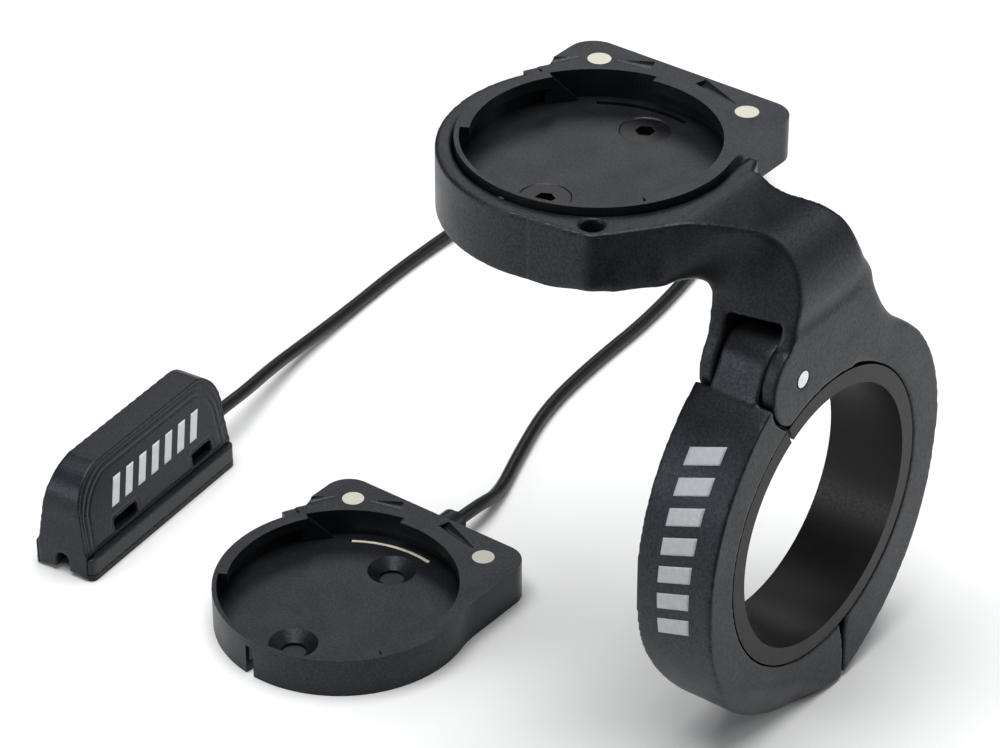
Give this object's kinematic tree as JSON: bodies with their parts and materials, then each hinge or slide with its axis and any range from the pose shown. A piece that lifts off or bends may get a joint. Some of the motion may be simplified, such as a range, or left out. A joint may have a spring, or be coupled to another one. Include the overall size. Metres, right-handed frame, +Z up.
{
  "type": "cycling computer mounting set",
  "caption": "Over-stem handlebar mount with a hinged clamp and round bayonet cradle, plus a loose wired cradle and a clip-on wheel speed sensor on a thin cord.",
  "frame": {"origin": "centre of the handlebar bore, in the middle of the clamp's width", "axes": "+X forward, +Y along the handlebar towards the stem, +Z up with the platform level"},
  "size_m": [0.1362, 0.0983, 0.0686],
  "materials": {
    "arm_plastic": "fine moulded texture, satin",
    "cradle_plastic": "fine moulded texture, satin",
    "sensor_plastic": "fine moulded texture, satin",
    "contact_metal": "pale plated",
    "black_steel": "black oxide",
    "bright_steel": "zinc plated",
    "brass": "plain",
    "rubber_black": "matt",
    "carrier_plastic": "plain",
    "core_insulation": "plain",
    "board": "solder mask",
    "reed_glass": "clear",
    "resin": "cast",
    "cord_jacket": "smooth satin",
    "tie_plastic": "soft strap"
  },
  "bodies": {
    "mount": {"arm_body": "arm_plastic", "mount_cradle": "cradle_plastic", "mount_cradle_cover": "cradle_plastic", "mount_contacts": "contact_metal", "cradle_screws": "black_steel", "platform_inserts": "brass", "hinge_pin": "bright_steel", "clamp_sleeve": "rubber_black", "clamp_nut": "bright_steel"},
    "clamp_jaw": {"clamp_jaw": "arm_plastic"},
    "clamp_washer": {"clamp_washer": "bright_steel"},
    "clamp_screw": {"clamp_screw": "black_steel"},
    "wired_set": {"wired_cradle": "cradle_plastic", "wired_cradle_cover": "cradle_plastic", "wired_contacts": "contact_metal", "contact_leaves": "brass", "contact_carrier": "carrier_plastic", "cable_cores": "core_insulation", "cradle_grommet": "rubber_black", "sensor_housing": "sensor_plastic", "sensor_base": "sensor_plastic", "sensor_pad": "rubber_black", "sensor_board": "board", "reed_switch": "reed_glass", "sensor_potting": "resin", "sensor_grommet": "rubber_black", "cord_cradle_lead": "cord_jacket", "cord_sensor_lead": "cord_jacket", "cord_coil": "cord_jacket", "cord_tie": "tie_plastic"}
  },
  "joints": [
    {"name": "jaw_hinge", "type": "hinge", "parent": "mount", "child": "clamp_jaw", "pos_m": [-0.0061, 0, 0.0214], "axis": [0, 1, 0], "range_deg": [0, 55]},
    {"name": "screw_travel", "type": "slide", "parent": "clamp_jaw", "child": "clamp_washer", "axis": [-0.9683, 0, -0.2499], "range_m": [0, 0.004]},
    {"name": "screw_spin", "type": "hinge", "parent": "clamp_washer", "child": "clamp_screw", "pos_m": [0.0049, 0, -0.02124], "axis": [-0.9683, 0, -0.2499], "range_deg": [0, 2881]},
    {"name": "set_lift", "type": "slide", "parent": "mount", "child": "wired_set", "axis": [0, 0, 1], "range_m": [0, 0.05]}
  ],
  "couplings": [
    {"joint": "screw_spin", "follows": "screw_travel", "rad_per_m": 12566}
  ]
}
